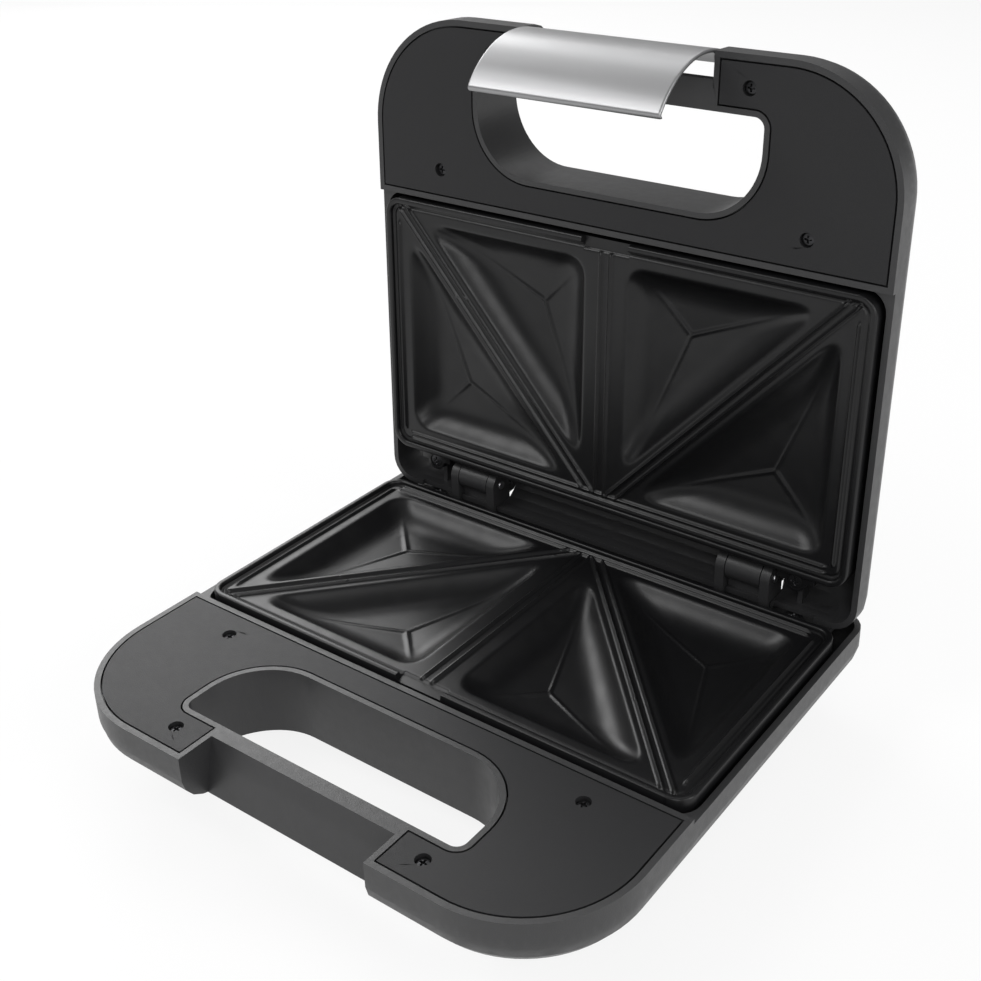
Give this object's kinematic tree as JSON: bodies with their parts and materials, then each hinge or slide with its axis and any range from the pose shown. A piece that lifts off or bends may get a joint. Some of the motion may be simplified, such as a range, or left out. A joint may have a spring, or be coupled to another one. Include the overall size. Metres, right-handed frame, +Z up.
{
  "type": "sandwich toaster",
  "caption": "Countertop sandwich toaster standing open: hinged lid, facing non-stick plates with triangular pockets, looped handles with finger openings and a curved latch clip.",
  "frame": {"origin": "centre of the bounding box at table height, in the resting pose with the lid standing open", "axes": "+X to the toaster's right seen from the front, +Y from the handle towards the hinge, +Z up"},
  "size_m": [0.232, 0.2336, 0.2504],
  "materials": {
    "casing": "black moulded heat-proof plastic, fine satin grain",
    "lid_casing": "black moulded heat-proof plastic, satin",
    "panel": "dark grey matt plastic cover",
    "screw": "plated steel cross-head screw",
    "plate": "cast aluminium with black non-stick coating, satin gloss",
    "rod": "dull oxidised steel heating rod",
    "porcelain": "unglazed white ceramic",
    "zinc": "zinc-plated strap",
    "tinplate": "tinned sheet steel",
    "thermostat": "plated steel cup",
    "nylon": "ivory heat-proof nylon",
    "foot": "black rubber",
    "pin": "turned steel pin",
    "lens_red": "clear red plastic lens",
    "lens_green": "clear green plastic lens",
    "clip": "satin silver-finished metal clip"
  },
  "bodies": {
    "base": {"base_shell": "casing", "base_panel": "panel", "base_panel_screws": "screw", "lower_plate": "plate", "lower_plate_screws": "screw", "lower_rod": "rod", "lower_rod_ends": "porcelain", "lower_rod_straps": "zinc", "lower_reflector": "tinplate", "thermostat": "thermostat", "thermal_fuse": "porcelain", "terminal_block": "nylon", "rubber_feet": "foot", "hinge_pins": "pin"},
    "lid": {"lid_shell": "lid_casing", "lid_panel": "panel", "lid_panel_screws": "screw", "upper_plate": "plate", "upper_plate_screws": "screw", "upper_rod": "rod", "upper_rod_ends": "porcelain", "upper_rod_straps": "zinc", "upper_reflector": "tinplate", "power_lens": "lens_red", "ready_lens": "lens_green", "lamp_holder": "nylon", "latch_pins": "pin"},
    "latch": {"latch_clip": "clip"}
  },
  "joints": [
    {"name": "lid_hinge", "type": "hinge", "parent": "base", "child": "lid", "pos_m": [0, 0.08489, 0.0482], "axis": [1, 0, 0], "range_deg": [0, 92]},
    {"name": "latch_pivot", "type": "hinge", "parent": "lid", "child": "latch", "pos_m": [0, 0.09833, 0.23835], "axis": [1, 0, 0], "range_deg": [-35, 0]}
  ]
}
